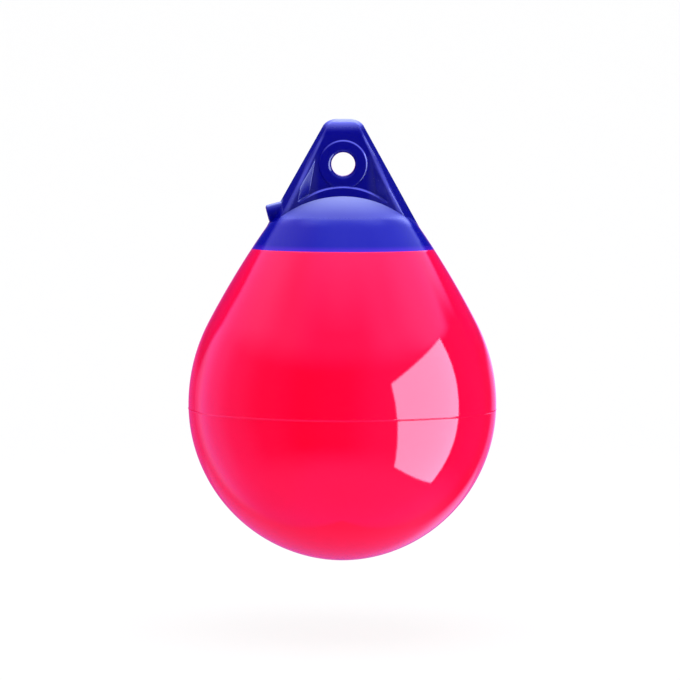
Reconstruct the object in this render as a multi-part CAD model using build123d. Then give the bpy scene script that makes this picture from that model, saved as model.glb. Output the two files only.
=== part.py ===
"""Inflatable teardrop mooring buoy: a hollow vinyl bladder closed by a solid moulded rope hold.

Millimetres and degrees. The origin is the centre of the rope eye, on the rope hold's mid-plane. +Z runs
up the buoy's axis, X is across the flat of the rope hold and Y runs through the eye.
"""

from build123d import *
import os
from math import asin, cos, degrees, radians, sin, tan

os.makedirs("parts", exist_ok=True)

# ---- Outline of the body of revolution: tangent arcs, each named by its radius and where it ends --------
WIDTH = 203.2               # greatest diameter, at the girth
EYE_TO_GIRTH = 158.0        # rope eye's centre down to the girth
BELLY_ARC = 103.6           # below the girth
BELLY_TURN = 76.0           # how far the belly arc turns before the pole cap takes over
SHOULDER_ARC = 116.6        # above the girth
SHOULDER_TURN = 27.6        # how far the shoulder arc leans in before the taper takes over
TAPER_ARC = 577.0           # long taper, from the shoulder up to the rope hold's dome
TAPER_TOP = 117.6           # height of the taper's end above the girth
DOME_ARC = 27.0             # dome's edge, tangent to the taper
DOME_TURN = 50.0            # lean at which the dome's flatter cap takes over

# ---- Bladder --------------------------------------------------------------------------------------------
WALL = 3.4                  # vinyl skin
PARTING_DROP = 3.0          # girth down to the mould's parting line
RIDGE_HEIGHT = 0.35         # fine ridge that the mould leaves along its parting line
RIDGE_WIDTH = 1.2
COLLAR_HEIGHT = 102.4       # height above the girth where the blue skirt ends
LAP_HEIGHT = 8.0            # how far the bladder's neck runs up inside the skirt
LIP = 1.7                   # skirt's thickness over the neck
BOND_GAP = 0.1              # glue line between neck and skirt

# ---- Rope hold ------------------------------------------------------------------------------------------
EYE_RADIUS = 7.8
EYE_RIM_ROUND = 2.8         # rounding at both mouths of the eye
RING_RADIUS = 16.1          # boss around the eye
RING_PROUD = 1.0            # how far the boss stands out of the plate, each side
RING_ROUND = 1.4
EYE_TO_TOP = 29.6
PLATE_HALF = 10.5           # half-thickness of the plate, and radius of its nose
TOP_HALF_WIDTH = 11.8       # plate's half-width at the top, before its corners are rounded
TOP_CORNER_ROUND = 7.5
EDGE_LEAN = 28.5            # lean of the plate's two long edges from the vertical
EDGE_DRAFT = 17.5           # mould draft of the edges, from the mid-plane outwards
EDGE_ROUND = 2.2            # rounding all along the plate's and ribs' outer edges
RIB_START = 1.5             # height above the eye's centre where the ribs begin to flare
RIB_FLARE = 20.6            # lean of the ribs' fronts from the vertical
RIB_BLEND = 25.0            # radius between the plate's face and the ribs' flare
FOOT_BLEND = 12.0           # radius between the flare and the upright foot
FOOT_HALF = 16.5            # half-thickness of the upright foot, below the flare
RIB_CREST = 5.1             # width of a rib's crest, from the pocket's root out to the edge, at the ribs' start
POCKET_LEAN = 10.0           # lean of the pocket's root lines
POCKET_DRAFT = 46.0         # how far the pocket's side walls open outwards
POCKET_ROUND = 0.8          # rounding along the pocket's edges and corners
FLOOR_ARC = 45.0            # arched floor of the pockets
FLOOR_DROP = 14.8           # eye's centre down to the crown of the floor
DOME_WALL = 4.0             # dome's skin above the bladder's neck

# ---- Inflation valve, in a boss on the left shoulder ----------------------------------------------------
VALVE_LEAN = 15.0           # the valve points outwards and this much down
VALVE_RISE = 6.9            # height of the middle of the boss's end face above the taper's end
VALVE_STAND = 0.05          # how far that middle stands out beyond the taper's end, measured level
BOSS_RADIUS = 6.3
BOSS_ROUND = 1.6
BOSS_DEPTH = 16.0           # how far the boss runs back into the dome
BODY_RADIUS = 3.2           # valve body's barrel
BODY_GAP = 0.05             # barrel in its hole
BODY_LENGTH = 11.0
RECESS_GAP = 0.1            # flange in its recess, and screw's head below the boss's end face
FLANGE_RADIUS = 4.3
FLANGE_THICKNESS = 1.0
SCREW_RADIUS = 1.8
SCREW_GAP = 0.08            # screw in the valve body
SCREW_LENGTH = 8.0
SCREW_HEAD_RADIUS = 3.2
SCREW_HEAD_HEIGHT = 1.8
SLOT_WIDTH = 1.0
SLOT_DEPTH = 1.1
SEAL_RADIUS = 3.0
SEAL_THICKNESS = 1.2
SEAL_GAP = 0.02             # washer's hole over the screw, and above and below the washer


def polar(centre, radius, angle):
    """Point on a circle, at an angle from level."""
    return Vector(centre.X + radius * cos(radians(angle)), centre.Y + radius * sin(radians(angle)))


# ---- Centres of the outline's arcs, as (distance from the axis, height) ---------------------------------
GIRTH_Z = -EYE_TO_GIRTH
COLLAR_Z = GIRTH_Z + COLLAR_HEIGHT
TAPER_END_Z = GIRTH_Z + TAPER_TOP
BELLY_CENTRE = Vector(WIDTH / 2 - BELLY_ARC, GIRTH_Z)
BELLY_END = polar(BELLY_CENTRE, BELLY_ARC, -BELLY_TURN)
POLE_ARC = BELLY_END.X / cos(radians(BELLY_TURN))
POLE_CENTRE = polar(BELLY_END, -POLE_ARC, -BELLY_TURN)
SHOULDER_CENTRE = Vector(WIDTH / 2 - SHOULDER_ARC, GIRTH_Z)
TAPER_CENTRE = polar(SHOULDER_CENTRE, SHOULDER_ARC - TAPER_ARC, SHOULDER_TURN)
TAPER_END_TURN = degrees(asin((TAPER_END_Z - TAPER_CENTRE.Y) / TAPER_ARC))
DOME_CENTRE = polar(TAPER_CENTRE, TAPER_ARC - DOME_ARC, TAPER_END_TURN)
CAP_ARC = polar(DOME_CENTRE, DOME_ARC, DOME_TURN).X / cos(radians(DOME_TURN))
CAP_CENTRE = polar(polar(DOME_CENTRE, DOME_ARC, DOME_TURN), -CAP_ARC, DOME_TURN)


def taper_turn(height, inset):
    """Lean of the taper, set in by a thickness, at a height."""
    return degrees(asin((height - TAPER_CENTRE.Y) / (TAPER_ARC - inset)))


def taper_point(height, inset):
    return polar(TAPER_CENTRE, TAPER_ARC - inset, taper_turn(height, inset))


def arc(centre, radius, start, end):
    return CenterArc(centre, radius, start, end - start)


def lower_outline(inset):
    """Edges from the pole up to the shoulder's end, set in by a thickness."""
    return [
        arc(POLE_CENTRE, POLE_ARC - inset, -90, -BELLY_TURN),
        arc(BELLY_CENTRE, BELLY_ARC - inset, -BELLY_TURN, 0),
        arc(SHOULDER_CENTRE, SHOULDER_ARC - inset, 0, SHOULDER_TURN),
    ]


def taper_outline(inset, low, high):
    """The taper between two heights, set in by a thickness."""
    return arc(TAPER_CENTRE, TAPER_ARC - inset, taper_turn(low, inset), taper_turn(high, inset))


def revolved(edges):
    """Solid of revolution about the buoy's axis from edges in (distance from the axis, height)."""
    return revolve(Plane.XZ * make_face(edges), Axis.Z)


def bladder():
    """Hollow skin with a thinner neck that laps inside the rope hold's skirt."""
    neck = LIP + BOND_GAP
    neck_top = COLLAR_Z + LAP_HEIGHT
    shoulder_end = SHOULDER_CENTRE.Y + SHOULDER_ARC * sin(radians(SHOULDER_TURN))
    inner_shoulder_end = polar(SHOULDER_CENTRE, SHOULDER_ARC - WALL, SHOULDER_TURN).Y
    outer = lower_outline(0) + [taper_outline(0, shoulder_end, COLLAR_Z)]
    inner = lower_outline(WALL) + [taper_outline(WALL, inner_shoulder_end, neck_top)]
    joins = [
        Line(taper_point(COLLAR_Z, 0), taper_point(COLLAR_Z, neck)),
        taper_outline(neck, COLLAR_Z, neck_top),
        Line(taper_point(neck_top, neck), taper_point(neck_top, WALL)),
        Line((0, POLE_CENTRE.Y - POLE_ARC), (0, POLE_CENTRE.Y - POLE_ARC + WALL)),
    ]
    return revolved(outer + inner + joins) + parting_ridge()


def parting_ridge():
    """Low roof-shaped ring round the belly, rooted inside the skin."""
    level = GIRTH_Z - PARTING_DROP
    skin_radius = BELLY_CENTRE.X + (BELLY_ARC**2 - PARTING_DROP**2) ** 0.5
    root = skin_radius - WALL / 2
    corners = (
        (root, level - RIDGE_WIDTH / 2),
        (skin_radius, level - RIDGE_WIDTH / 2),
        (skin_radius + RIDGE_HEIGHT, level),
        (skin_radius, level + RIDGE_WIDTH / 2),
        (root, level + RIDGE_WIDTH / 2),
    )
    return revolve(Plane.XZ * Polygon(*corners, align=None), Axis.Z)


def dome_outline(inset):
    """The dome's edge arc and flatter cap, from the taper's end to the axis, set in by a thickness."""
    return [
        arc(DOME_CENTRE, DOME_ARC - inset, TAPER_END_TURN, DOME_TURN),
        arc(CAP_CENTRE, CAP_ARC - inset, DOME_TURN, 90),
    ]


def dome_blank():
    """Skirt and dome, solid through."""
    crown = CAP_CENTRE.Y + CAP_ARC
    edges = [taper_outline(0, COLLAR_Z, TAPER_END_Z)] + dome_outline(0)
    edges += [Line((0, crown), (0, COLLAR_Z)), Line((0, COLLAR_Z), taper_point(COLLAR_Z, 0))]
    return revolved(edges)


def dome_cavity():
    """Room under the dome: the lap for the bladder's neck, then the dome's inside."""
    ledge = COLLAR_Z + LAP_HEIGHT + BOND_GAP
    dome_start = polar(TAPER_CENTRE, TAPER_ARC - DOME_WALL, TAPER_END_TURN).Y
    crown = CAP_CENTRE.Y + CAP_ARC - DOME_WALL
    edges = [
        Line((0, COLLAR_Z), taper_point(COLLAR_Z, LIP)),
        taper_outline(LIP, COLLAR_Z, ledge),
        Line(taper_point(ledge, LIP), taper_point(ledge, DOME_WALL)),
        taper_outline(DOME_WALL, ledge, dome_start),
    ]
    edges += dome_outline(DOME_WALL)
    edges += [Line((0, crown), (0, COLLAR_Z))]
    return revolved(edges)


def plate_blank():
    """Front half of the plate: its outline drawn out from the mid-plane with the mould's draft."""
    foot = COLLAR_Z + LAP_HEIGHT
    foot_half_width = TOP_HALF_WIDTH + (EYE_TO_TOP - foot) * tan(radians(EDGE_LEAN))
    outline = Polygon(
        (-TOP_HALF_WIDTH, EYE_TO_TOP),
        (-foot_half_width, foot),
        (foot_half_width, foot),
        (TOP_HALF_WIDTH, EYE_TO_TOP),
        align=None,
    )
    outline = fillet(outline.vertices().group_by(Axis.Y)[-1], TOP_CORNER_ROUND)
    blank = extrude(Plane.XZ * outline, WIDTH / 4)
    foot_face = blank.faces().sort_by(Axis.Z)[0]
    sides = blank.faces().filter_by(Axis.Y, reverse=True) - ShapeList([foot_face])
    return draft(sides, Plane.XZ, EDGE_DRAFT)


def side_profile():
    """Front half of the plate seen from the side: round nose, upright face, flare, then the upright foot."""
    foot = COLLAR_Z + LAP_HEIGHT
    nose = Vector(0, EYE_TO_TOP - PLATE_HALF)
    blend = RIB_BLEND * tan(radians(RIB_FLARE / 2))
    blend_centre = Vector(PLATE_HALF + RIB_BLEND, RIB_START + blend)
    blend_end = polar(blend_centre, RIB_BLEND, 180 + RIB_FLARE)
    flare_end_x = FOOT_HALF - FOOT_BLEND * (1 - cos(radians(RIB_FLARE)))
    flare_end = Vector(flare_end_x, blend_end.Y - (flare_end_x - blend_end.X) / tan(radians(RIB_FLARE)))
    foot_centre = polar(flare_end, -FOOT_BLEND, RIB_FLARE)
    edges = [
        arc(nose, PLATE_HALF, 0, 90),
        Line((PLATE_HALF, nose.Y), (PLATE_HALF, blend_centre.Y)),
        arc(blend_centre, RIB_BLEND, 180, 180 + RIB_FLARE),
        Line(blend_end, flare_end),
        arc(foot_centre, FOOT_BLEND, RIB_FLARE, 0),
        Line((FOOT_HALF, foot_centre.Y), (FOOT_HALF, foot)),
        Line((FOOT_HALF, foot), (0, foot)),
        Line((0, foot), (0, EYE_TO_TOP)),
    ]
    return mirror(extrude(Plane.YZ * make_face(edges), WIDTH / 2, both=True), Plane.XZ)


def pocket():
    """Space between the front ribs, above the arched floor, in front of the plate's face."""
    low, high = COLLAR_Z, EYE_TO_TOP
    edge = TOP_HALF_WIDTH + (EYE_TO_TOP - RIB_START) * tan(radians(EDGE_LEAN))
    half_start = edge - PLATE_HALF * tan(radians(EDGE_DRAFT)) - RIB_CREST
    lean = tan(radians(POCKET_LEAN))
    half_low = half_start + (RIB_START - low) * lean
    half_high = half_start + (RIB_START - high) * lean
    root = Polygon((-half_high, high), (-half_low, low), (half_low, low), (half_high, high), align=None)
    face = Plane.XZ.offset(PLATE_HALF)
    space = extrude(face * root, PLATE_HALF * 2)
    walls = space.faces().sort_by(Axis.X)
    space = draft(ShapeList([walls[0], walls[-1]]), face, -POCKET_DRAFT)
    arch = Pos(0, 0, -FLOOR_DROP - FLOOR_ARC) * Rot(90, 0, 0) * Cylinder(FLOOR_ARC, WIDTH)
    below = Pos(0, 0, -FLOOR_DROP - FLOOR_ARC - WIDTH / 2) * Box(WIDTH, WIDTH, WIDTH)
    return space - arch - below


def plate_front():
    """Front half of the plate with its ribs, pocket and rounded edges."""
    half = plate_blank() & side_profile()
    rib_edges = half.edges().filter_by(lambda edge: (edge @ 0.5).Y < -PLATE_HALF)
    rib_edges = rib_edges.filter_by(GeomType.LINE).filter_by(Axis.X, reverse=True)
    foot = COLLAR_Z + LAP_HEIGHT
    half = fillet(rib_edges.filter_by(lambda edge: (edge @ 0.5).Z > foot + EDGE_ROUND), EDGE_ROUND)
    space = pocket()
    cut = half - space
    touch = POCKET_ROUND / 10
    rims = [edge for edge in cut.edges() if all(space.distance_to(end) < touch for end in edge.vertices())]
    return fillet(rims, POCKET_ROUND)


def ring():
    """Boss around the eye, with its rims rounded."""
    length = 2 * (PLATE_HALF + RING_PROUD)
    boss = Rot(90, 0, 0) * Cylinder(RING_RADIUS, length)
    return fillet(boss.edges().filter_by(GeomType.CIRCLE), RING_ROUND)


def eye():
    """The hole through the boss, flared at both mouths by the rim's rounding."""
    half = PLATE_HALF + RING_PROUD
    flare_centre = Vector(EYE_RADIUS + EYE_RIM_ROUND, half - EYE_RIM_ROUND)
    edges = [
        Line((0, 0), (EYE_RADIUS, 0)),
        Line((EYE_RADIUS, 0), (EYE_RADIUS, flare_centre.Y)),
        arc(flare_centre, EYE_RIM_ROUND, 180, 90),
        Line((flare_centre.X, half), (0, half)),
        Line((0, half), (0, 0)),
    ]
    half_hole = revolve(Plane.XZ * make_face(edges), Axis.Z)
    return Rot(90, 0, 0) * (half_hole + mirror(half_hole, Plane.XY))


# The valve's own frame: its Z runs outwards along the valve, from the middle of the boss's end face
VALVE_Z = TAPER_END_Z + VALVE_RISE
VALVE_OUT = taper_point(TAPER_END_Z, 0).X + VALVE_STAND
VALVE = Pos(-VALVE_OUT, 0, VALVE_Z) * Rot(0, -90 - VALVE_LEAN, 0)
SEAT = -FLANGE_THICKNESS - SEAL_THICKNESS - SCREW_HEAD_HEIGHT - 2 * SEAL_GAP - RECESS_GAP


def valve_boss():
    boss = Pos(0, 0, -BOSS_DEPTH / 2) * Cylinder(BOSS_RADIUS, BOSS_DEPTH)
    return VALVE * fillet(boss.edges().group_by(Axis.Z)[-1], BOSS_ROUND)


def valve_hole():
    """Hole for the valve body's barrel, and the recess that hides its flange and the screw's head."""
    barrel = Pos(0, 0, -BOSS_DEPTH) * Cylinder(BODY_RADIUS + BODY_GAP, 2 * BOSS_DEPTH)
    recess = Pos(0, 0, SEAT + BOSS_DEPTH / 2) * Cylinder(FLANGE_RADIUS + RECESS_GAP, BOSS_DEPTH)
    return VALVE * (barrel + recess)


def tube(outer, inner, low, high):
    """Ring-shaped piece about the valve's axis."""
    middle = Pos(0, 0, (low + high) / 2)
    return middle * Cylinder(outer, high - low) - middle * Cylinder(inner, 2 * (high - low))


def head():
    """Rope hold: plate with ribs and pockets on a domed skirt, one moulding."""
    front = plate_front()
    solid = front + mirror(front, Plane.XZ) + ring() + dome_blank() + valve_boss()
    return solid - dome_cavity() - eye() - valve_hole()


def valve_body():
    """Flanged nylon insert pressed into the boss."""
    bore = SCREW_RADIUS + SCREW_GAP
    barrel = tube(BODY_RADIUS, bore, SEAT - BODY_LENGTH, SEAT)
    flange = tube(FLANGE_RADIUS, bore, SEAT, SEAT + FLANGE_THICKNESS)
    return VALVE * (barrel + flange)


def valve_seal():
    """Flat rubber washer between the flange and the screw's head."""
    low = SEAT + FLANGE_THICKNESS + SEAL_GAP
    return VALVE * tube(SEAL_RADIUS, SCREW_RADIUS + SEAL_GAP, low, low + SEAL_THICKNESS)


def valve_screw():
    """Slotted closing screw."""
    under_head = -RECESS_GAP - SCREW_HEAD_HEIGHT
    shank = Pos(0, 0, under_head - SCREW_LENGTH / 2) * Cylinder(SCREW_RADIUS, SCREW_LENGTH)
    cap = Pos(0, 0, under_head + SCREW_HEAD_HEIGHT / 2) * Cylinder(SCREW_HEAD_RADIUS, SCREW_HEAD_HEIGHT)
    slot = Pos(0, 0, -RECESS_GAP) * Box(4 * SCREW_HEAD_RADIUS, SLOT_WIDTH, 2 * SLOT_DEPTH)
    return VALVE * (shank + cap - slot)


for name, make in (
    ("bladder", bladder),
    ("head", head),
    ("valve_body", valve_body),
    ("valve_seal", valve_seal),
    ("valve_screw", valve_screw),
):
    export_step(make(), f"parts/{name}.step")
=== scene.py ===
"""Looks of the inflatable mooring buoy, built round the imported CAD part.

Blender works in metres; the sizes named here are in millimetres and degrees unless a comment says otherwise.
The origin is the rope eye's centre. Z runs up the buoy's axis, and Y through the eye, away from the camera.
A pair of numbers given to ease or slide says where a change begins and where it ends.
"""

import math

import bmesh
import bpy
from mathutils import Matrix, Vector, noise


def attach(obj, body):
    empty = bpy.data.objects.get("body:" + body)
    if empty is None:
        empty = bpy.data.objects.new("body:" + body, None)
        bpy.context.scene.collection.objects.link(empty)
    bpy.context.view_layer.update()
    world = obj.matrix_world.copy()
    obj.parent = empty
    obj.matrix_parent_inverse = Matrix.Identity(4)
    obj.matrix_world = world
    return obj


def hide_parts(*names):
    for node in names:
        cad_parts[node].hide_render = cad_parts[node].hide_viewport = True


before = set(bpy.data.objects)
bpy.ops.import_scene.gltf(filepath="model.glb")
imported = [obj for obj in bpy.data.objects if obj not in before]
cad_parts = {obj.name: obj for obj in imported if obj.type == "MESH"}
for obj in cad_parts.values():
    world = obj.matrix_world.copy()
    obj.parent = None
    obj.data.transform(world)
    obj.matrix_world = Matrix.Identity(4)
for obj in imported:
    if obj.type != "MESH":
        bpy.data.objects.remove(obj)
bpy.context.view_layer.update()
MM = 0.001

# ---- Outline of the body of revolution, as the solids have it ---------------------------------------------
WIDTH, GIRTH_Z = 203.2, -158.0
BELLY_ARC, BELLY_TURN = 103.6, 76.0
SHOULDER_ARC, SHOULDER_TURN = 116.6, 27.6
TAPER_ARC, TAPER_TOP_Z = 577.0, GIRTH_Z + 117.6
COLLAR_Z = GIRTH_Z + 102.4  # where the blue skirt ends
PARTING_Z = GIRTH_Z - 3.0
RIDGE_HEIGHT, RIDGE_HALF = 0.35, 0.6
WALL, NECK_INSET, NECK_HEIGHT = 3.4, 1.8, 7.9  # the skin, and its neck inside the skirt
EDGE_DROP, EDGE_SOFT = 0.12, (0.03, 0.15)  # the skin's last ring below the skirt, and its softened edge
FLASH_UNEVEN, FLASH_WAVES = 0.15, 9
SWELL, SWELL_WAVES, SWELL_FADE = 0.06, 1.7, (4, 24)  # it fades in over these depths below the skirt
WAVE_STRETCH = 0.01  # height counts this much in the noise that makes both uneven
POLE_STEPS, BELLY_STEPS, SHOULDER_STEPS, TAPER_STEPS, SKIN_SEGMENTS = 12, 70, 26, 40, 320
RIDGE_RINGS = (0.12, 0.35, 0.7, 1, 1.4, 2.5)  # mesh rings on each side of the ridge, in its half-widths
RIDGE_CLEAR = 0.5  # no other ring is nearer to them than this

# ---- Rope hold ---------------------------------------------------------------------------------------------
NOSE_TOP = 29.6
EDGE_LEAN = 28.5  # of the plate's long edges, from the vertical
CAD_TOP, SOFT_TOP = (11.8, 7.5), (11.2, 11.0)  # plate's half-width at its top, and its corners' radius
SOFT_FADE = (16.5, 21.5)  # heights over which the softer top fades in
SHARP_ANGLE, NORMAL_WEIGHT = 48.0, 60
BESIDE_FOOT = (16.52, 16.7)  # distances from the mid-plane, just beyond the plate's foot
# Painted highlight lines: radius and half-width of the one on the ring's edge, then centre height, radius and
# half-width of the one along the pockets' arched floors
RING_LINE, RING_LINE_HALF = 15.4, 0.75
FLOOR_C, FLOOR_LINE, FLOOR_LINE_HALF = -59.8, 44.9, 0.85

# ---- Painted highlights, painted light, tints and satin roughness of the rope hold, in millimetres --------
DOME_HIGHLIGHT_AND_SATIN, CONE_PAINTED_LIGHT = (-37.1, -19.8), (-35.0, -39.0)  # heights: the dome's painted highlight and added roughness, and the painted lighter blue reaching down the cone
# Heights over which the nose's painted highlight and added roughness grow towards its top
NOSE_HIGHLIGHT_AND_SATIN = (NOSE_TOP - 8.6, NOSE_TOP)
PURPLE_TINT = (COLLAR_Z + 3.4, COLLAR_Z)
RING_SIDE, RING_LIT, RING_LEVELS = (0.5, 0.87), (-3, 15), (0.0, 0.75)  # the ring's painted highlight, brighter towards the upper right, where the light falls
# Painted highlight along the arched floors: how it weakens to the sides, its levels, and where it ends
FLOOR_CROWN, FLOOR_LEVELS, FLOOR_ENDS = (27, 20), (0.2, 0.85), (-25.0, -18.0)
LINE_CORE = 0.2  # share of a line's half-width that is at full strength
CREST_SLOPE, CREST_OUT = 0.48, 22.2  # middle line of the ribs' crests, which carry a painted highlight and added roughness
CREST_HEIGHTS, CREST_HALVES, CREST_CORE = (12, -22), (1.3, 2.3), 0.2  # its half-width grows downwards
CREST_DEPTH, CREST_TOP, CREST_FOOT = (3.5, 5), (22, 14), (-36, -28)  # off the mid-plane; fades at its ends
POCKET_SIDE, POCKET_TOP, POCKET_RIM = (15, 19), (10, 3), (2.6, 1.4)  # bounds of the pockets' satin walls
# Painted highlight on the valve boss's top: its width, its levels, and where it fades out towards the plate
BOSS_HIGHLIGHT, BOSS_LEVELS, BOSS_ROOT = 1.9, (0.0, 0.5), (-39, -41)
NOSE_EDGE, NOSE_PALE = (2.2, 0.95), (5.0, 0.4)  # power and strength of the nose's two painted highlights, in the edge tint and in the pale tint
# Power of the dome's painted highlight, strength of the crests' painted highlight, and share of the painted
# lighter blue on the dome and cone
DOME_POWER, CREST_EDGE, CONE_SHARE = 1.7, 0.36, 0.75
DOME_SATIN, WALL_SATIN, NOSE_SATIN = (0.35, 0.4), 0.13, (0.6, 0.22)  # mask's full level, added roughness

# ---- Valve, along its own axis: 0 is the boss's end face and up is outwards -------------------------------
VALVE_LEAN, VALVE_RISE, VALVE_STAND = 15.0, 6.9, 0.05
BOSS_RADIUS = 6.3
RECESS_GAP = 0.1
BODY_RADIUS, BODY_BORE, BODY_LENGTH, BODY_ROUND = 3.2, 1.88, 11.0, 0.18
FLANGE_RADIUS, FLANGE_THICKNESS = 4.3, 1.0
SEAL_RADIUS, SEAL_HOLE, SEAL_THICKNESS, SEAL_GAP = 3.0, 1.82, 1.2, 0.02
SEAL_ROUND, SEAL_MIDDLE = 0.3, 2.4
SCREW_HEAD_RADIUS, SCREW_HEAD_HEIGHT, HEAD_CHAMFER, HEAD_ROUND = 3.2, 1.8, (0.6, 0.25), 0.12
SCREW_LENGTH, TIP_RADIUS, TIP_HEIGHT = 8.0, 1.1, 0.6
SLOT_WIDTH, SLOT_DEPTH, SLOT_REACH = 1.0, 1.1, 8.0
SCREW_SHARP = 35.0
BODY_SEGMENTS, SEAL_SEGMENTS, SCREW_SEGMENTS = 72, 64, 64
THREAD_ROOT, THREAD_CREST, THREAD_SUNK, THREAD_CLEAR = 1.45, 1.8, 0.05, 0.3
THREAD_FOOT_HALF, THREAD_CREST_HALF = 0.55, 0.08
THREAD_STEPS, THREAD_FADE = 40, 12  # steps in a turn, and in the fade at each end
PITCH = 1.5  # five turns lift the screw 7.5 mm
ROUND_SHARE = 0.45  # a rounding takes at most this share of a side
SEAT = -FLANGE_THICKNESS - SEAL_THICKNESS - SCREW_HEAD_HEIGHT - 2 * SEAL_GAP - RECESS_GAP
UNDER_HEAD = -RECESS_GAP - SCREW_HEAD_HEIGHT

# ---- Colours, linear, and surface detail; a noise is its scale and detail ---------------------------------
RED, RED_DEEP = (0.99, 0.0004, 0.029, 1), (0.96, 0.0003, 0.024, 1)
BLUE, BLUE_DEEP = (0.001, 0.001, 0.225, 1), (0.0008, 0.0008, 0.2, 1)
# Painted light: a lighter blue for the open dome and cone, and pale blues for the painted highlights on edges
# and on the dome, nose and boss
PAINTED_LIT_BLUE, PAINTED_EDGE_BLUE = (0.001, 0.001, 0.33, 1), (0.12, 0.13, 0.78, 1)
PAINTED_HIGHLIGHT_BLUE, PURPLE = (0.32, 0.37, 0.82, 1), (0.055, 0.006, 0.5, 1)
NYLON, NYLON_DEEP = (0.82, 0.82, 0.78, 1), (0.74, 0.74, 0.69, 1)
RUBBER, RUBBER_DULL = (0.018, 0.018, 0.019, 1), (0.03, 0.03, 0.03, 1)
PAPER, WHITE = (0.86, 0.86, 0.86, 1), (1, 1, 1, 1)
VINYL_IOR = 1.8  # higher than real vinyl's, for the photo's strong reflections
RED_ROUGHNESS, BLUE_ROUGHNESS = 0.05, 0.12
PIGMENT, GLOSS, PEEL, DENTS, GRAIN = (14.0, 3.0), (900.0, 4.0), (210.0, 2.0), (26.0, 1.0), (700.0, 3.0)
PIGMENT_SPREAD, GLOSS_SPREAD = (0.3, 0.7), (0.25, 0.8)  # the part of each noise's range that shows
GLOSS_DRIFT = (0.85, 1.25)  # roughness from and to, as shares of the vinyl's own
PEEL_SHARE, DENT_SHARE, PEEL_METRES = 0.35, 3.0, 0.00002
GRAIN_TINT, GRAIN_GLOSS, GRAIN_ROUGHNESS = (0.3, 0.75), (0.2, 0.8), (0.3, 0.45)
GRAIN_STRENGTH, GRAIN_METRES = 0.4, 0.00005

# ---- Camera: its place and clip in metres, its lens and sensor in millimetres ------------------------------
CAMERA_PLACE, CAMERA_LENS, CAMERA_SENSOR = (-0.0017, -2.391, 0.0345), 192.3, 36
CAMERA_DOWN, CAMERA_ROLL, CAMERA_CLIP = 3.6, 0.2, (0.1, 30)

# ---- Backdrop and lamps, in metres and watts ---------------------------------------------------------------
FLOOR_Z, FLOOR_NEAR, WALL_Y, WALL_TOP, SHEET_HALF = -0.31, -4.5, 2.6, 3.2, 5.0
BEND, BEND_STEPS = 1.2, 24
PAPER_ROUGHNESS, PAPER_GLOW = 0.9, 0.86  # the glow is for the camera alone
LAMP_AIM = (0, 0, -0.13)
LAMPS = [("overhead", (0.1, -0.2, 1.6), (1.6, 1.6), 18.5), ("right_box", (1.3, -0.9, 0.1), (1.0, 1.2), 5.4)]

# ---- The room that reflections show ------------------------------------------------------------------------
# Azimuths run round from the camera's side, positive to the right. Heights are a direction's Z, from -1 to 1;
# RIGHTWARD, LEFTWARD and CURTAIN_SIDES are its X, and BACK is its Y. A level of 1 is white.
SOFTBOX_AT, SOFTBOX_EDGE, SOFTBOX_LEVEL = (68, -6), 0.015, 7.0  # azimuth and elevation of its middle
SOFTBOX_CORNERS = [(-0.34, -0.71), (0.50, -0.81), (0.57, 0.79), (-0.61, 0.42)]
SOFTBOX_FRONT = (0.0, 0.05)  # keeps it to the half of the room that it stands in
WALL_LEVELS = [
    (-179, 0.12), (-157, 0.08), (-146, 0.07), (-141, 0.2), (-132, 0.5), (-112, 0.34), (-90, 0.17),
    (-60, 0.05), (-30, 0.003), (0, 0.01), (35, 0.08), (115, 0.06), (145, 0.03), (157, 0.36), (168, 0.6),
    (179, 0.7),
]
CEILING_LEVELS = [
    (-170, 3.0), (-130, 0.7), (-100, 0.65), (-60, 0.32), (-20, 0.14), (15, 0.15), (50, 0.4), (90, 0.7),
    (130, 0.75), (170, 3.0),
]
TOP_LEVEL = 4.0  # a colour ramp's colours stay under 1, so levels are divided by this and multiplied again
CEILING_SIDES, CEILING_LEFT, CEILING_RIGHT = (55, 90), (0.36, 0.68), (0.45, 0.53)
CEILING_SAG, SAG_AZIMUTHS = 0.1, (115, 135)
ZENITH, ZENITH_LEVEL, ZENITH_BACK, BACK = (0.75, 0.97), 0.75, 1.6, (-0.3, 0.6)
UNDERSIDE, UNDERSIDE_LEVEL = (-0.42, -0.8), 0.22
CURTAIN_EDGE, CURTAIN_SLANT, CURTAIN_HEM = (141, 147), 30.94, (0.0, 0.08)
CURTAIN_SIDES, CURTAIN_LEFT, CURTAIN_RIGHT = (-0.1, 0.1), (0.44, 0.37), (0.4, 0.33)
CURTAIN_AZIMUTHS, CURTAIN_LEVELS = (154, 179), (0.03, 0.12)
FLOOR_EDGE, FLOOR_SHIFT, FLOOR_TOP = (138, 150), 8, (-0.02, -0.2)  # the shift is its edge's, on the right
FLOOR_STEP, FLOOR_END = (-0.25, -0.3), (-0.4, -0.65)
FLOOR_LEFT, FLOOR_RIGHT = (0.1, 0.18), (0.22, 0.55)  # levels above and below the step
RIGHTWARD, LEFTWARD = (0.0, 0.3), (-0.3, -0.6)

# ---- How the room's levels become colours ------------------------------------------------------------------
RED_SHARE, RED_SHARE_LEFT = 0.87, 1.1
BLUE_POWER = 0.6  # under 1, so that the room's dim parts look bluer than its bright ones
BLUE_SHARE, BLUE_SHARE_SIDES, BLUE_SHARE_REAR = 3.6, 3.05, 2.0
SIDES, REAR, REAR_HEIGHTS = (110, 125), (125, 140), (0.3, 0.1)
REAR_RED, REAR_RED_HEIGHTS = 0.6, (0.15, 0.0)
VIEW_LINE = (0, 0.998, -0.063)  # the way the photo's camera looks
FACING_LEVEL, GRAZING_LEVEL, GRAZING_POWER = 0.49, 0.51, 5.0  # straight back, and added towards the rims
FILL_HEIGHTS, FILL_LEVELS = (-0.5, 1.0), (0.85, 1.06)  # the even light that colours are seen by


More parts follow.
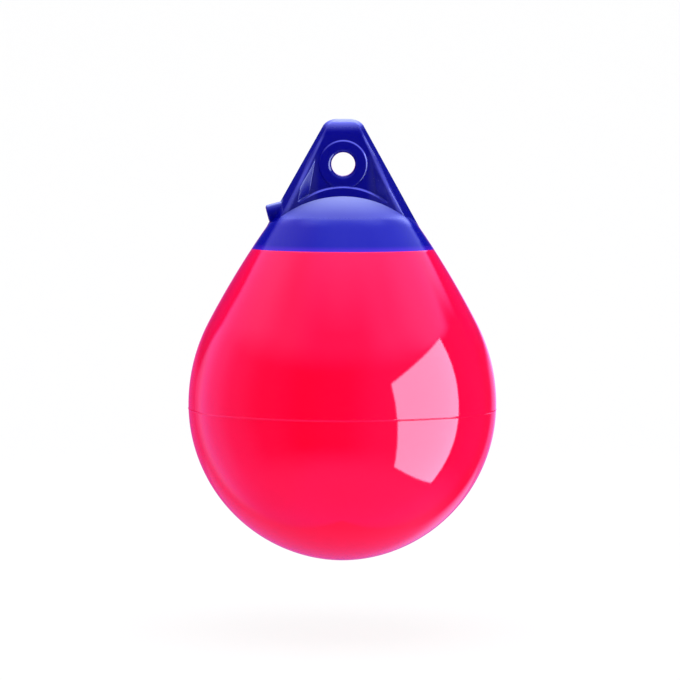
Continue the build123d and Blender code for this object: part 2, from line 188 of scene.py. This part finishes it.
# ---- Geometry helpers --------------------------------------------------------------------------------------
def polar(centre, radius, angle):
    """Point on a circle, at an angle from level."""
    turn = math.radians(angle)
    return centre[0] + radius * math.cos(turn), centre[1] + radius * math.sin(turn)


BELLY_C = (WIDTH / 2 - BELLY_ARC, GIRTH_Z)
BELLY_END = polar(BELLY_C, BELLY_ARC, -BELLY_TURN)
POLE_ARC = BELLY_END[0] / math.cos(math.radians(BELLY_TURN))
POLE_C = polar(BELLY_END, -POLE_ARC, -BELLY_TURN)
SHOULDER_C = (WIDTH / 2 - SHOULDER_ARC, GIRTH_Z)
TAPER_C = polar(SHOULDER_C, SHOULDER_ARC - TAPER_ARC, SHOULDER_TURN)


def belly_radius(z):
    """Radius of the belly's outside at a height."""
    return BELLY_C[0] + math.sqrt(BELLY_ARC**2 - (z - GIRTH_Z) ** 2)


def taper_radius(z):
    """Radius of the long taper's outside at a height."""
    return TAPER_C[0] + math.sqrt(TAPER_ARC**2 - (z - TAPER_C[1]) ** 2)


VALVE_AT = Vector((-taper_radius(TAPER_TOP_Z) - VALVE_STAND, 0, TAPER_TOP_Z + VALVE_RISE))
TO_VALVE = Matrix.Translation(VALVE_AT * MM) @ Matrix.Rotation(math.radians(-90 - VALVE_LEAN), 4, "Y")


def arc_points(centre, radius, start, end, steps):
    return [polar(centre, radius, start + (end - start) * i / steps) for i in range(steps + 1)]


def on_circle(radius, angle, height):
    """Point round the Z axis, in metres, for an angle in radians."""
    return radius * math.cos(angle) * MM, radius * math.sin(angle) * MM, height * MM


def share_of(value, low, high):
    """How far a value is on its way between two others, from 0 to 1."""
    return min(1.0, max(0.0, (value - low) / (high - low)))


def new_object(name, bm, smooth=True):
    mesh = bpy.data.meshes.new(name)
    bm.to_mesh(mesh)
    bm.free()
    obj = bpy.data.objects.new(name, mesh)
    bpy.context.scene.collection.objects.link(obj)
    if smooth:
        mesh.shade_smooth()
    return obj


def lathe(profile, segments, wobble=None):
    """Surface of revolution about Z from (radius, height) points; a radius of 0 closes it."""
    bm = bmesh.new()
    rings = []
    for radius, height in profile:
        if radius < 1e-6:
            rings.append([bm.verts.new((0, 0, height * MM))])
            continue
        ring = []
        for i in range(segments):
            angle = 2 * math.pi * i / segments
            spread = radius + (wobble(angle, height) if wobble else 0.0)
            ring.append(bm.verts.new(on_circle(spread, angle, height)))
        rings.append(ring)
    for low, high in zip(rings, rings[1:]):
        for i in range(segments):
            j = (i + 1) % segments
            if len(low) == 1 and len(high) > 1:
                bm.faces.new((low[0], high[j], high[i]))
            elif len(high) == 1 and len(low) > 1:
                bm.faces.new((low[i], low[j], high[0]))
            elif len(low) > 1:
                bm.faces.new((low[i], low[j], high[j], high[i]))
    bmesh.ops.recalc_face_normals(bm, faces=bm.faces)
    return bm


def rounded(corners, radius, steps=4):
    """Rounds every corner but the first and the last of a profile of (radius, height) points."""
    out = [corners[0]]
    for before, here, after in zip(corners, corners[1:], corners[2:]):
        corner = Vector(here)
        back, ahead = Vector(before) - corner, Vector(after) - corner
        reach = min(radius, back.length * ROUND_SHARE, ahead.length * ROUND_SHARE)
        start, end = corner + back.normalized() * reach, corner + ahead.normalized() * reach
        for i in range(steps + 1):
            t = i / steps
            out.append(tuple((1 - t) ** 2 * start + 2 * t * (1 - t) * corner + t * t * end))
    out.append(corners[-1])
    return out


def applied(obj):
    """Bakes an object's modifiers into its mesh."""
    graph = bpy.context.evaluated_depsgraph_get()
    mesh = bpy.data.meshes.new_from_object(obj.evaluated_get(graph))
    obj.modifiers.clear()
    obj.data = mesh
    return obj


def dress(obj, material, body):
    """Gives a piece its material and the body that it rides on."""
    obj.data.materials.clear()
    obj.data.materials.append(material)
    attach(obj, body)


# ---- Node arithmetic ---------------------------------------------------------------------------------------
class Graph:
    """One node tree. Each method adds a node and returns its output; values are numbers or other outputs."""

    def __init__(self, tree):
        self.tree = tree

    def node(self, kind, values=None, **settings):
        """Adds a node, with values for its inputs by their place or name, and returns the node itself."""
        made = self.tree.nodes.new(kind)
        for key, value in settings.items():
            setattr(made, key, value)
        for key, value in (values or {}).items():
            if isinstance(value, bpy.types.NodeSocket):
                self.tree.links.new(value, made.inputs[key])
            else:
                made.inputs[key].default_value = value
        return made

    def maths(self, operation, *values, clamp=False):
        made = self.node("ShaderNodeMath", dict(enumerate(values)), operation=operation, use_clamp=clamp)
        return made.outputs[0]

    def plus(self, a, b, clamp=False):
        return self.maths("ADD", a, b, clamp=clamp)

    def minus(self, a, b):
        return self.maths("SUBTRACT", a, b)

    def times(self, first, *others):
        for other in others:
            first = self.maths("MULTIPLY", first, other)
        return first

    def power(self, value, exponent):
        return self.maths("POWER", value, exponent)

    def larger(self, a, b):
        return self.maths("MAXIMUM", a, b)

    def size(self, value):
        return self.maths("ABSOLUTE", value)

    def slide(self, value, low, high, out_low=0.0, out_high=1.0):
        """Straight, clamped change from one level to another."""
        values = {0: value, 1: low, 2: high, 3: out_low, 4: out_high}
        return self.node("ShaderNodeMapRange", values).outputs[0]

    def ease(self, value, low, high, out_low=0.0, out_high=1.0):
        """Smooth, clamped change from one level to another."""
        eased = self.slide(value, low, high, out_low, out_high)
        eased.node.interpolation_type = "SMOOTHSTEP"
        return eased

    def blend(self, factor, a, b):
        """Mixes two numbers."""
        return self.node("ShaderNodeMix", {0: factor, 2: a, 3: b}).outputs[0]

    def tint(self, factor, a, b):
        """Mixes two colours."""
        return self.node("ShaderNodeMix", {0: factor, 6: a, 7: b}, data_type="RGBA").outputs[2]

    def speckle(self, where, scale, detail):
        values = {"Vector": where, "Scale": scale, "Detail": detail}
        return self.node("ShaderNodeTexNoise", values).outputs["Fac"]

    def bump(self, height, strength, distance):
        values = {"Height": height, "Strength": strength, "Distance": distance}
        return self.node("ShaderNodeBump", values).outputs[0]

    def place(self):
        return self.node("ShaderNodeTexCoord").outputs["Object"]


def new_material(name):
    """A new material, its graph and its shader's inputs."""
    material = bpy.data.materials.new(name)
    material.use_nodes = True
    return material, Graph(material.node_tree), material.node_tree.nodes["Principled BSDF"].inputs


def vinyl(name, main, deep, roughness):
    """Glossy moulded vinyl: slight drift of the pigment, uneven gloss, and a faint orange peel and dents."""
    material, graph, inputs = new_material(name)
    where = graph.place()
    drift, fine = graph.speckle(where, *PIGMENT), graph.speckle(where, *GLOSS)
    peel, dents = graph.speckle(where, *PEEL), graph.speckle(where, *DENTS)
    height = graph.plus(graph.times(peel, PEEL_SHARE), graph.times(dents, DENT_SHARE))
    gloss = graph.ease(fine, *GLOSS_SPREAD, *(roughness * share for share in GLOSS_DRIFT))
    graph.tree.links.new(graph.tint(graph.ease(drift, *PIGMENT_SPREAD), main, deep), inputs["Base Color"])
    graph.tree.links.new(gloss, inputs["Roughness"])
    graph.tree.links.new(graph.bump(height, 1.0, PEEL_METRES), inputs["Normal"])
    inputs["IOR"].default_value = VINYL_IOR
    return material, graph, inputs


def satin_plastic(name, main, deep):
    """Finely grained nylon or rubber."""
    material, graph, inputs = new_material(name)
    grain = graph.speckle(graph.place(), *GRAIN)
    graph.tree.links.new(graph.tint(graph.ease(grain, *GRAIN_TINT), main, deep), inputs["Base Color"])
    graph.tree.links.new(graph.ease(grain, *GRAIN_GLOSS, *GRAIN_ROUGHNESS), inputs["Roughness"])
    graph.tree.links.new(graph.bump(grain, GRAIN_STRENGTH, GRAIN_METRES), inputs["Normal"])
    return material


# ---- Red vinyl bladder -------------------------------------------------------------------------------------
def skin_outline():
    """The skin's outside from the pole up to the skirt, as (radius, height)."""
    points = arc_points(POLE_C, POLE_ARC, -90, -BELLY_TURN, POLE_STEPS)[:-1]
    points[0] = (0.0, points[0][1])
    points += arc_points(BELLY_C, BELLY_ARC, -BELLY_TURN, 0, BELLY_STEPS)[:-1]
    points += arc_points(SHOULDER_C, SHOULDER_ARC, 0, SHOULDER_TURN, SHOULDER_STEPS)[:-1]
    low = SHOULDER_C[1] + SHOULDER_ARC * math.sin(math.radians(SHOULDER_TURN))
    high = COLLAR_Z - EDGE_DROP
    heights = [low + (high - low) * i / TAPER_STEPS for i in range(TAPER_STEPS + 1)]
    return points + [(taper_radius(z), z) for z in heights]


def bladder_profile():
    """The skin with close rings over the parting line's ridge, then its rounded edge and the neck."""
    steps = [-step for step in reversed(RIDGE_RINGS)] + [0, *RIDGE_RINGS]
    fine = [PARTING_Z + step * RIDGE_HALF for step in steps]
    points = [p for p in skin_outline() if not fine[0] - RIDGE_CLEAR < p[1] < fine[-1] + RIDGE_CLEAR]
    points = sorted(points + [(belly_radius(z), z) for z in fine], key=lambda p: p[1])
    top, neck_top = taper_radius(COLLAR_Z), COLLAR_Z + NECK_HEIGHT
    edge = [(top - EDGE_SOFT[0], COLLAR_Z - EDGE_SOFT[0]), (top - EDGE_SOFT[1], COLLAR_Z)]
    neck = [(taper_radius(neck_top) - inset, neck_top) for inset in (NECK_INSET, WALL)]
    return points + edge + [(top - NECK_INSET, COLLAR_Z)] + neck


def bladder_wobble(angle, height):
    """The flash along the parting line, uneven round the girth, and the skin's slight swell."""
    around = Vector((math.cos(angle), math.sin(angle), height * WAVE_STRETCH))
    ridge = max(0.0, 1 - abs(height - PARTING_Z) / RIDGE_HALF)
    flash = RIDGE_HEIGHT * ridge * (1 - FLASH_UNEVEN + FLASH_UNEVEN * noise.noise(around * FLASH_WAVES))
    swell = SWELL + SWELL * noise.noise(around * SWELL_WAVES)
    return flash - swell * share_of(COLLAR_Z - height, *SWELL_FADE)


def bladder():
    obj = new_object("bladder_skin", lathe(bladder_profile(), SKIN_SEGMENTS, bladder_wobble))
    red = vinyl("red_vinyl_look", RED, RED_DEEP, RED_ROUGHNESS)[0]
    dress(obj, red, "root")
    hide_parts("bladder")


# ---- Blue rope hold ----------------------------------------------------------------------------------------
def plate_half_width(z, top, corner):
    """Half-width of the plate at a height, for its half-width at the top and its corners' radius."""
    lean = math.radians(EDGE_LEAN)
    reach = corner * math.tan((math.pi / 2 - lean) / 2)
    if z < NOSE_TOP - reach * math.cos(lean):
        return top + (NOSE_TOP - z) * math.tan(lean)
    return top - reach + math.sqrt(max(0.0, corner**2 - (z - NOSE_TOP + corner) ** 2))


def soften_top(mesh):
    """Gives the plate's top the moulding's rounder corners, from the ring's top upwards."""
    for vertex in mesh.vertices:
        z = min(vertex.co.z / MM, NOSE_TOP)
        share = share_of(z, *SOFT_FADE)
        if share > 0:
            ratio = plate_half_width(z, *SOFT_TOP) / plate_half_width(z, *CAD_TOP)
            vertex.co.x *= 1 + (ratio - 1) * share


def rope_hold():
    """The rope hold's moulding, from a copy of the solid's mesh, shaded smooth across its fillets."""
    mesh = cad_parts["head"].data.copy()
    mesh.name = "rope_hold"
    soften_top(mesh)
    obj = bpy.data.objects.new("rope_hold", mesh)
    bpy.context.scene.collection.objects.link(obj)
    mesh.shade_smooth()
    mesh.set_sharp_from_angle(angle=math.radians(SHARP_ANGLE))
    weighted = obj.modifiers.new("weighted", "WEIGHTED_NORMAL")
    weighted.mode, weighted.weight, weighted.keep_sharp = "FACE_AREA", NORMAL_WEIGHT, True
    applied(obj)
    blue, graph, inputs = vinyl("blue_vinyl_look", BLUE, BLUE_DEEP, BLUE_ROUGHNESS)
    painted_highlights_tints_and_satin(graph, inputs)
    dress(obj, blue, "root")
    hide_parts("head")


def painted_edge_lines(graph, x, z):
    """Mask of the painted highlight lines along the ring's edge and along the arched floors of the pockets.
    """

    def line(centre, radius, half):
        """Mask of a soft line round a circle seen along the plate's thickness."""
        up = graph.minus(z, centre)
        away = graph.maths("SQRT", graph.plus(graph.times(x, x), graph.times(up, up)))
        return graph.ease(graph.size(graph.minus(away, radius)), half, half * LINE_CORE)

    lit = graph.plus(graph.times(x, RING_SIDE[0]), graph.times(z, RING_SIDE[1]))
    ring = graph.times(line(0.0, RING_LINE, RING_LINE_HALF), graph.ease(lit, *RING_LIT, *RING_LEVELS))
    crown = graph.ease(graph.size(x), *FLOOR_CROWN, *FLOOR_LEVELS)
    arch = graph.times(line(FLOOR_C, FLOOR_LINE, FLOOR_LINE_HALF), crown, graph.slide(z, *FLOOR_ENDS))
    return graph.plus(ring, arch)


def rib_crest(graph, aside, z, depth):
    """Mask of the ribs' rounded crests, wider towards the foot and faded at both ends; it places their
    painted highlight and added roughness.
    """
    half = graph.ease(z, *CREST_HEIGHTS, *CREST_HALVES)
    crest = graph.ease(graph.size(aside), half, CREST_CORE)
    ends = graph.times(graph.ease(z, *CREST_TOP), graph.ease(z, *CREST_FOOT))
    return graph.times(crest, graph.ease(depth, *CREST_DEPTH), ends)


def boss_top_highlight(graph, x, z):
    """Mask of the painted highlight on the valve boss's upper side."""
    lean = math.radians(VALVE_LEAN)
    top = VALVE_AT.z - VALVE_AT.x * math.tan(lean) + BOSS_RADIUS / math.cos(lean)
    level = graph.minus(z, graph.times(x, math.tan(lean)))
    return graph.times(graph.ease(level, top - BOSS_HIGHLIGHT, top, *BOSS_LEVELS), graph.ease(x, *BOSS_ROOT))


def painted_highlights_tints_and_satin(graph, inputs):
    """Painted highlights on the dome, nose, crests, boss top and moulded edges, and painted light that makes
    the open dome and cone a lighter blue; violet where the skirt ends; added roughness on the dome, nose,
    crests and pocket walls.
    """
    metres = graph.place()
    scaled = graph.node("ShaderNodeVectorMath", {0: metres, "Scale": 1 / MM}, operation="SCALE").outputs[0]
    x, y, z = graph.node("ShaderNodeSeparateXYZ", {0: scaled}).outputs
    depth = graph.size(y)
    beside = graph.ease(depth, *BESIDE_FOOT)
    dome = graph.times(beside, graph.slide(z, *DOME_HIGHLIGHT_AND_SATIN))
    cone = graph.larger(beside, graph.slide(z, *CONE_PAINTED_LIGHT))
    nose = graph.slide(z, *NOSE_HIGHLIGHT_AND_SATIN)
    aside = graph.plus(graph.size(x), graph.minus(graph.times(z, CREST_SLOPE), CREST_OUT))
    crest = rib_crest(graph, aside, z, depth)
    pocket = graph.times(graph.ease(z, *POCKET_TOP), graph.ease(aside, *POCKET_RIM))
    wall = graph.times(graph.ease(graph.size(x), *POCKET_SIDE), pocket, graph.minus(1.0, beside))

    # Painted highlights: pale lines on the nose, the ring, the arched floors and the crests, and pale patches
    # on the boss top, the nose top and the dome
    edges = graph.plus(graph.times(graph.power(nose, NOSE_EDGE[0]), NOSE_EDGE[1]), painted_edge_lines(graph, x, z))
    edges = graph.plus(edges, graph.times(crest, CREST_EDGE), clamp=True)
    pale = graph.plus(boss_top_highlight(graph, x, z), graph.times(graph.power(nose, NOSE_PALE[0]), NOSE_PALE[1]))
    pale = graph.plus(graph.power(dome, DOME_POWER), pale, clamp=True)
    # Painted light: the open dome and cone in a lighter blue; then the violet tint and the painted highlights
    # over it
    colour = inputs["Base Color"].links[0].from_socket
    colour = graph.tint(graph.times(cone, CONE_SHARE), colour, PAINTED_LIT_BLUE)
    colour = graph.tint(graph.slide(z, *PURPLE_TINT), colour, PURPLE)
    colour = graph.tint(edges, colour, PAINTED_EDGE_BLUE)
    graph.tree.links.new(graph.tint(pale, colour, PAINTED_HIGHLIGHT_BLUE), inputs["Base Color"])

    satin = graph.times(graph.ease(dome, 0.0, DOME_SATIN[0]), DOME_SATIN[1])
    satin = graph.plus(satin, graph.times(graph.larger(crest, wall), WALL_SATIN))
    satin = graph.plus(satin, graph.times(graph.ease(nose, 0.0, NOSE_SATIN[0]), NOSE_SATIN[1]))
    gloss = inputs["Roughness"].links[0].from_socket
    graph.tree.links.new(graph.plus(gloss, satin), inputs["Roughness"])


# ---- Valve -------------------------------------------------------------------------------------------------
def valve_insert(white):
    foot, lip = SEAT - BODY_LENGTH, SEAT + FLANGE_THICKNESS
    barrel = [(BODY_BORE, foot), (BODY_RADIUS, foot), (BODY_RADIUS, SEAT)]
    flange = [(FLANGE_RADIUS, SEAT), (FLANGE_RADIUS, lip), (BODY_BORE, lip)]
    obj = new_object("valve_insert", lathe(rounded(barrel + flange + barrel[:1], BODY_ROUND), BODY_SEGMENTS))
    obj.data.transform(TO_VALVE)
    dress(obj, white, "root")
    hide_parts("valve_body")


def valve_washer():
    low = SEAT + FLANGE_THICKNESS + SEAL_GAP
    high = low + SEAL_THICKNESS
    middle = [(SEAL_MIDDLE, low)]  # the profile closes here, away from its rounded corners
    outside, inside = [(SEAL_RADIUS, low), (SEAL_RADIUS, high)], [(SEAL_HOLE, high), (SEAL_HOLE, low)]
    profile = rounded(middle + outside + inside + middle, SEAL_ROUND, 6)
    obj = new_object("valve_washer", lathe(profile, SEAL_SEGMENTS))
    obj.data.transform(TO_VALVE)
    rubber = satin_plastic("black_rubber_look", RUBBER, RUBBER_DULL)
    dress(obj, rubber, "plug_seal")
    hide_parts("valve_seal")


def cut_slot(obj, top):
    """Cuts a screwdriver slot across a head, in the piece's own frame."""
    cutter = bmesh.new()
    size = Matrix.Diagonal((SLOT_REACH * MM, SLOT_WIDTH * MM, 2 * SLOT_DEPTH * MM, 1))
    bmesh.ops.create_cube(cutter, size=1, matrix=Matrix.Translation((0, 0, top * MM)) @ size)
    box = new_object("scratch_cutter", cutter, smooth=False)
    cut = obj.modifiers.new("slot", "BOOLEAN")
    cut.object, cut.operation, cut.solver = box, "DIFFERENCE", "EXACT"
    applied(obj)
    bpy.data.objects.remove(box)


def thread_ridge(bm, start, end):
    """A triangular ridge wound round the shank as a right-hand helix, faded in and out at its ends."""
    steps = int((end - start - 2 * THREAD_CLEAR) / PITCH * THREAD_STEPS)
    root = THREAD_ROOT - THREAD_SUNK
    shifts = (-THREAD_FOOT_HALF, -THREAD_CREST_HALF, THREAD_CREST_HALF, THREAD_FOOT_HALF)
    rows = []
    for i in range(steps + 1):
        angle = 2 * math.pi * i / THREAD_STEPS
        height = start + THREAD_CLEAR + PITCH * i / THREAD_STEPS
        rim = root + (THREAD_CREST - root) * min(1.0, i / THREAD_FADE, (steps - i) / THREAD_FADE)
        section = zip((root, rim, rim, root), shifts)
        rows.append([bm.verts.new(on_circle(radius, angle, height + shift)) for radius, shift in section])
    for a, b in zip(rows, rows[1:]):
        for k in range(3):
            bm.faces.new((a[k], b[k], b[k + 1], a[k + 1]))


def valve_screw(white):
    tip, top = UNDER_HEAD - SCREW_LENGTH, -RECESS_GAP
    shank = [(0.0, tip), (TIP_RADIUS, tip), (THREAD_ROOT, tip + TIP_HEIGHT), (THREAD_ROOT, UNDER_HEAD)]
    side = [(SCREW_HEAD_RADIUS, UNDER_HEAD), (SCREW_HEAD_RADIUS, top - HEAD_CHAMFER[1])]
    face = [(SCREW_HEAD_RADIUS - HEAD_CHAMFER[0], top), (0.0, top)]
    profile = rounded(shank + side + face, HEAD_ROUND, 3)
    obj = new_object("valve_screw_turned", lathe(profile, SCREW_SEGMENTS))
    cut_slot(obj, top)
    bm = bmesh.new()
    bm.from_mesh(obj.data)
    thread_ridge(bm, tip + TIP_HEIGHT, UNDER_HEAD - THREAD_CLEAR)
    bm.to_mesh(obj.data)
    bm.free()
    obj.data.transform(TO_VALVE)
    obj.data.shade_smooth()
    obj.data.set_sharp_from_angle(angle=math.radians(SCREW_SHARP))
    dress(obj, white, "plug")
    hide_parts("valve_screw")


# ---- Camera, backdrop and lamps ----------------------------------------------------------------------------
def place_camera():
    data = bpy.data.cameras.new("camera")
    data.sensor_width = CAMERA_SENSOR
    data.lens = CAMERA_LENS
    data.clip_start, data.clip_end = CAMERA_CLIP
    camera = bpy.data.objects.new("camera", data)
    camera.location = CAMERA_PLACE
    pitch = Matrix.Rotation(math.radians(90 - CAMERA_DOWN), 3, "X")
    camera.rotation_euler = (pitch @ Matrix.Rotation(math.radians(CAMERA_ROLL), 3, "Z")).to_euler()
    bpy.context.scene.collection.objects.link(camera)
    bpy.context.scene.camera = camera
    bpy.context.scene.view_settings.view_transform = "Standard"


def backdrop_paper():
    """Pale paper, nearly white to the camera and clear to reflections, which show the room instead."""
    material, graph, inputs = new_material("backdrop_paper")
    inputs["Base Color"].default_value = PAPER
    inputs["Roughness"].default_value = PAPER_ROUGHNESS
    rays = graph.node("ShaderNodeLightPath").outputs
    paper = graph.tree.nodes["Principled BSDF"].outputs[0]
    white_out = graph.node("ShaderNodeEmission", {"Color": WHITE, "Strength": 1.0}).outputs[0]
    clear = graph.node("ShaderNodeBsdfTransparent").outputs[0]
    veil = graph.times(rays["Is Camera Ray"], PAPER_GLOW)
    seen = graph.node("ShaderNodeMixShader", {0: veil, 1: paper, 2: white_out}).outputs[0]
    surface = graph.node("ShaderNodeMixShader", {0: rays["Is Glossy Ray"], 1: seen, 2: clear}).outputs[0]
    graph.tree.links.new(surface, graph.tree.nodes["Material Output"].inputs["Surface"])
    return material


def backdrop():
    """A pale sheet: a flat floor that curves up behind the object."""
    start = WALL_Y - BEND
    path = [(FLOOR_NEAR, FLOOR_Z), (start, FLOOR_Z)]
    for i in range(1, BEND_STEPS + 1):
        angle = math.pi / 2 * i / BEND_STEPS
        path.append((start + BEND * math.sin(angle), FLOOR_Z + BEND * (1 - math.cos(angle))))
    path.append((WALL_Y, WALL_TOP))
    bm = bmesh.new()
    left = [bm.verts.new((-SHEET_HALF, y, z)) for y, z in path]
    right = [bm.verts.new((SHEET_HALF, y, z)) for y, z in path]
    for i in range(len(path) - 1):
        bm.faces.new((left[i], right[i], right[i + 1], left[i + 1]))
    obj = new_object("floor_and_backdrop", bm)
    obj.data.materials.append(backdrop_paper())


def soft_lamp(name, place, size, power):
    """A lamp for colour only, which reflections don't show, aimed at the bladder."""
    data = bpy.data.lights.new(name, "AREA")
    data.shape, data.size, data.size_y, data.energy = "RECTANGLE", size[0], size[1], power
    lamp = bpy.data.objects.new(name, data)
    lamp.location = place
    lamp.rotation_euler = (Vector(LAMP_AIM) - Vector(place)).to_track_quat("-Z", "Y").to_euler()
    lamp.visible_glossy = False
    bpy.context.scene.collection.objects.link(lamp)


# ---- World -------------------------------------------------------------------------------------------------
class Room(Graph):
    """The world's node tree, and the direction looked in: its x, y and height, and its azimuth, turn."""

    def __init__(self, tree):
        super().__init__(tree)
        self.direction = self.node("ShaderNodeTexCoord").outputs["Generated"]
        self.x, self.y, self.height = self.node("ShaderNodeSeparateXYZ", {0: self.direction}).outputs
        radians = self.maths("ARCTAN2", self.x, self.times(self.y, -1.0))
        self.turn = self.times(radians, math.degrees(1))
        self.around = self.size(self.turn)
        self.rightward = self.ease(self.x, *RIGHTWARD)
        self.leftward = self.ease(self.x, *LEFTWARD)

    def dot(self, vector):
        values = {0: self.direction, 1: vector}
        return self.node("ShaderNodeVectorMath", values, operation="DOT_PRODUCT").outputs["Value"]

    def by_azimuth(self, stops):
        """Level round the room, eased between a few stops."""
        made = self.node("ShaderNodeValToRGB", {0: self.slide(self.turn, -180, 180)})
        made.color_ramp.interpolation = "EASE"
        for azimuth, level in stops:
            stop = made.color_ramp.elements.new((azimuth + 180) / 360)
            stop.color = (level / TOP_LEVEL, level / TOP_LEVEL, level / TOP_LEVEL, 1)
        made.color_ramp.elements.remove(made.color_ramp.elements[-1])
        made.color_ramp.elements.remove(made.color_ramp.elements[0])
        return self.times(made.outputs[0], TOP_LEVEL)

    def softbox(self):
        """Mask of the softbox, its corners in tangent units, anticlockwise as seen from outside."""
        azimuth, elevation = (math.radians(angle) for angle in SOFTBOX_AT)
        level = math.cos(elevation)
        middle = Vector((math.sin(azimuth) * level, -math.cos(azimuth) * level, math.sin(elevation)))
        across = Vector((-middle.y, middle.x, 0)).normalized()
        up = middle.cross(across)
        mask = self.ease(self.dot(middle), *SOFTBOX_FRONT)
        for (x0, y0), (x1, y1) in zip(SOFTBOX_CORNERS, SOFTBOX_CORNERS[1:] + SOFTBOX_CORNERS[:1]):
            inward = Vector((y0 - y1, x1 - x0)).normalized()
            edge = across * inward.x + up * inward.y - middle * (inward.x * x0 + inward.y * y0)
            mask = self.times(mask, self.ease(self.dot(edge), -SOFTBOX_EDGE, SOFTBOX_EDGE))
        return mask

    def walls_and_ceiling(self):
        """The ceiling's edge is soft on the left and sharp on the right, where it comes lower behind."""
        walls, ceiling = self.by_azimuth(WALL_LEVELS), self.by_azimuth(CEILING_LEVELS)
        raised = self.plus(self.height, self.ease(self.turn, *SAG_AZIMUTHS, 0.0, CEILING_SAG))
        left_edge, right_edge = self.ease(self.height, *CEILING_LEFT), self.ease(raised, *CEILING_RIGHT)
        above = self.blend(self.ease(self.turn, *CEILING_SIDES), left_edge, right_edge)
        zenith = self.plus(ZENITH_LEVEL, self.times(self.ease(self.y, *BACK), ZENITH_BACK))
        glow = self.blend(above, walls, ceiling)
        glow = self.blend(self.ease(self.height, *ZENITH), glow, zenith)
        return self.blend(self.ease(self.height, *UNDERSIDE), glow, UNDERSIDE_LEVEL)

    def with_curtain(self, glow):
        """A dark curtain behind, with slanted edges and a top that is a little higher on the left."""
        slanted = self.plus(self.around, self.times(self.height, CURTAIN_SLANT))
        left_top, right_top = self.ease(self.height, *CURTAIN_LEFT), self.ease(self.height, *CURTAIN_RIGHT)
        top = self.blend(self.ease(self.x, *CURTAIN_SIDES), left_top, right_top)
        curtain = self.times(self.ease(slanted, *CURTAIN_EDGE), top, self.ease(self.height, *CURTAIN_HEM))
        return self.blend(curtain, glow, self.ease(self.around, *CURTAIN_AZIMUTHS, *CURTAIN_LEVELS))

    def with_floor(self, glow):
        """A floor behind, brighter on the right and below its step."""
        shifted = self.minus(self.around, self.times(self.rightward, FLOOR_SHIFT))
        behind = self.times(self.ease(shifted, *FLOOR_EDGE), self.ease(self.height, *FLOOR_TOP))
        above, below = (self.blend(self.rightward, *levels) for levels in zip(FLOOR_LEFT, FLOOR_RIGHT))
        floor = self.blend(self.ease(self.height, *FLOOR_STEP), above, below)
        floor = self.blend(self.ease(self.height, *FLOOR_END), floor, UNDERSIDE_LEVEL)
        return self.blend(behind, glow, floor)

    def mirrored(self):
        """The colour that reflections show: bluer where the room is dim, brighter at the object's rims."""
        glow = self.with_floor(self.with_curtain(self.walls_and_ceiling()))
        glow = self.plus(glow, self.times(self.softbox(), SOFTBOX_LEVEL))
        rear = self.times(self.ease(self.around, *REAR), self.ease(self.height, *REAR_HEIGHTS))
        sides = self.larger(self.leftward, self.ease(self.around, *SIDES))
        share = self.blend(rear, self.blend(sides, BLUE_SHARE, BLUE_SHARE_SIDES), BLUE_SHARE_REAR)
        bluish = self.times(self.power(glow, BLUE_POWER), share)
        reddish = self.times(glow, self.blend(self.leftward, RED_SHARE, RED_SHARE_LEFT))
        warmth = self.times(rear, self.ease(self.height, *REAR_RED_HEIGHTS, 0.0, REAR_RED))
        reddish = self.plus(warmth, reddish)
        away = self.maths("MULTIPLY", self.plus(self.dot(VIEW_LINE), 1.0), 0.5, clamp=True)
        level = self.maths("MULTIPLY_ADD", self.power(away, GRAZING_POWER), GRAZING_LEVEL, FACING_LEVEL)
        channels = {i: self.times(part, level) for i, part in enumerate((reddish, glow, bluish))}
        return self.node("ShaderNodeCombineColor", channels).outputs[0]


def studio_world():
    """White to the camera, even light for colour, and for reflections a room with one large softbox."""
    world = bpy.data.worlds.new("studio")
    world.use_nodes = True
    world.cycles.sampling_method = "NONE"
    bpy.context.scene.world = world
    world.node_tree.nodes.clear()
    room = Room(world.node_tree)
    rays = room.node("ShaderNodeLightPath").outputs
    fill = room.ease(room.height, *FILL_HEIGHTS, *FILL_LEVELS)
    plain = room.node("ShaderNodeCombineColor", {0: fill, 1: fill, 2: fill}).outputs[0]
    seen = room.tint(rays["Is Glossy Ray"], plain, room.mirrored())
    seen = room.tint(rays["Is Camera Ray"], seen, WHITE)
    background = room.node("ShaderNodeBackground", {"Color": seen, "Strength": 1.0}).outputs[0]
    room.node("ShaderNodeOutputWorld", {0: background})


place_camera()
bladder()
rope_hold()
white_nylon = satin_plastic("white_nylon_look", NYLON, NYLON_DEEP)
valve_insert(white_nylon)
valve_washer()
valve_screw(white_nylon)
backdrop()
studio_world()
for lamp_facts in LAMPS:
    soft_lamp(*lamp_facts)
